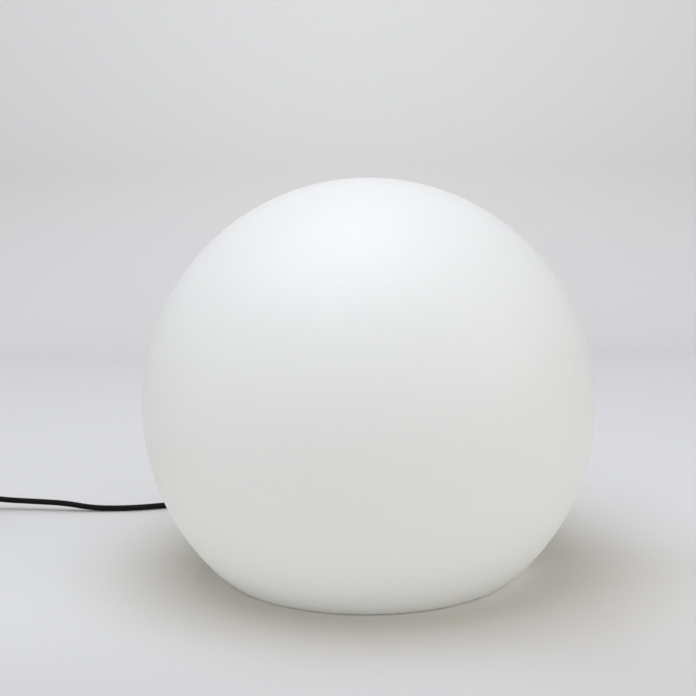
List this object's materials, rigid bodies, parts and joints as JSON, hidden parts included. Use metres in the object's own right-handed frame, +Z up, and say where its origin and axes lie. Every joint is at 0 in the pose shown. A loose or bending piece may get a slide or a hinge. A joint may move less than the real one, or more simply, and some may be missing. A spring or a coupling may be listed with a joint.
{
  "type": "garden globe light",
  "caption": "Flat-bottomed white plastic globe over a round base that holds the lampholder, bulb, wiring and gland, with a coiled rubber mains cable and its plug.",
  "frame": {"origin": "on the floor under the middle of the globe", "axes": "+Z up; the cable leaves the base along +Y and then runs towards -X"},
  "size_m": [0.866, 0.5052, 0.437],
  "materials": {
    "globe_white": "satin translucent white polyethylene",
    "base_plastic": "black moulded plastic",
    "pillar_plastic": "white moulded plastic",
    "gasket_rubber": "black rubber",
    "foot_rubber": "black rubber",
    "seal_rubber": "black silicone rubber",
    "steel_screw": "stainless steel",
    "contact_brass": "brass",
    "nickel_sheet": "nickel-plated sheet",
    "solder_tin": "tinned contact",
    "ceramic": "glazed white ceramic",
    "holder_plastic": "black moulded plastic",
    "terminal_plastic": "natural nylon",
    "gland_plastic": "black nylon",
    "cable_rubber": "matt black rubber sheath",
    "plug_rubber": "matt black rubber",
    "pin_nickel": "nickel-plated brass",
    "wire_brown": "brown core insulation",
    "wire_blue": "blue core insulation",
    "cap_glass": "black vitrified insulation",
    "bulb_plastic": "white plastic over aluminium",
    "bulb_diffuser": "frosted white polycarbonate",
    "board_white": "white solder resist on aluminium",
    "led_phosphor": "yellow phosphor",
    "board_green": "green circuit board"
  },
  "bodies": {
    "lamp_base": {"base_cover": "base_plastic", "base_gasket": "gasket_rubber", "cover_screws": "steel_screw", "screw_washers": "steel_screw", "rubber_feet": "foot_rubber", "lamp_pillar": "pillar_plastic", "pillar_screws": "steel_screw", "holder_body": "holder_plastic", "holder_core": "ceramic", "thread_sleeve": "nickel_sheet", "centre_contact": "contact_brass", "sleeve_contact": "contact_brass", "holder_terminal_screws": "steel_screw", "holder_fixing_screws": "steel_screw", "terminal_block": "terminal_plastic", "terminal_clamps": "contact_brass", "terminal_screws": "steel_screw", "terminal_fixing_screw": "steel_screw", "core_live": "wire_brown", "core_neutral": "wire_blue", "lead_live": "wire_brown", "lead_neutral": "wire_blue", "cable_tail": "cable_rubber", "gland_body": "gland_plastic", "gland_seal": "gasket_rubber", "gland_cap": "gland_plastic", "gland_locknut": "gland_plastic", "gland_washer": "gasket_rubber", "cord_run": "cable_rubber", "cord_coil": "cable_rubber", "cord_end": "cable_rubber", "plug_body": "plug_rubber", "plug_pins": "pin_nickel"},
    "globe": {"globe_shell": "globe_white", "thread_inserts": "contact_brass"},
    "bulb_seal": {"bulb_seal_ring": "seal_rubber"},
    "bulb": {"bulb_cap": "nickel_sheet", "bulb_cap_insulator": "cap_glass", "bulb_contact": "solder_tin", "bulb_housing": "bulb_plastic", "bulb_diffuser": "bulb_diffuser", "led_board": "board_white", "led_chips": "led_phosphor", "bulb_driver": "board_green"}
  },
  "joints": [
    {"name": "globe_lift", "type": "slide", "parent": "lamp_base", "child": "globe", "axis": [0, 0, 1], "range_m": [0, 0.22]},
    {"name": "bulb_rise", "type": "slide", "parent": "lamp_base", "child": "bulb_seal", "axis": [0, 0, 1], "range_m": [0, 0.0165]},
    {"name": "bulb_turn", "type": "hinge", "parent": "bulb_seal", "child": "bulb", "pos_m": [0, 0, 0.1085], "axis": [0, 0, 1], "range_deg": [0, 1620]}
  ],
  "couplings": [
    {"joint": "bulb_rise", "follows": "bulb_turn", "m_per_rad": 0.00057757}
  ]
}
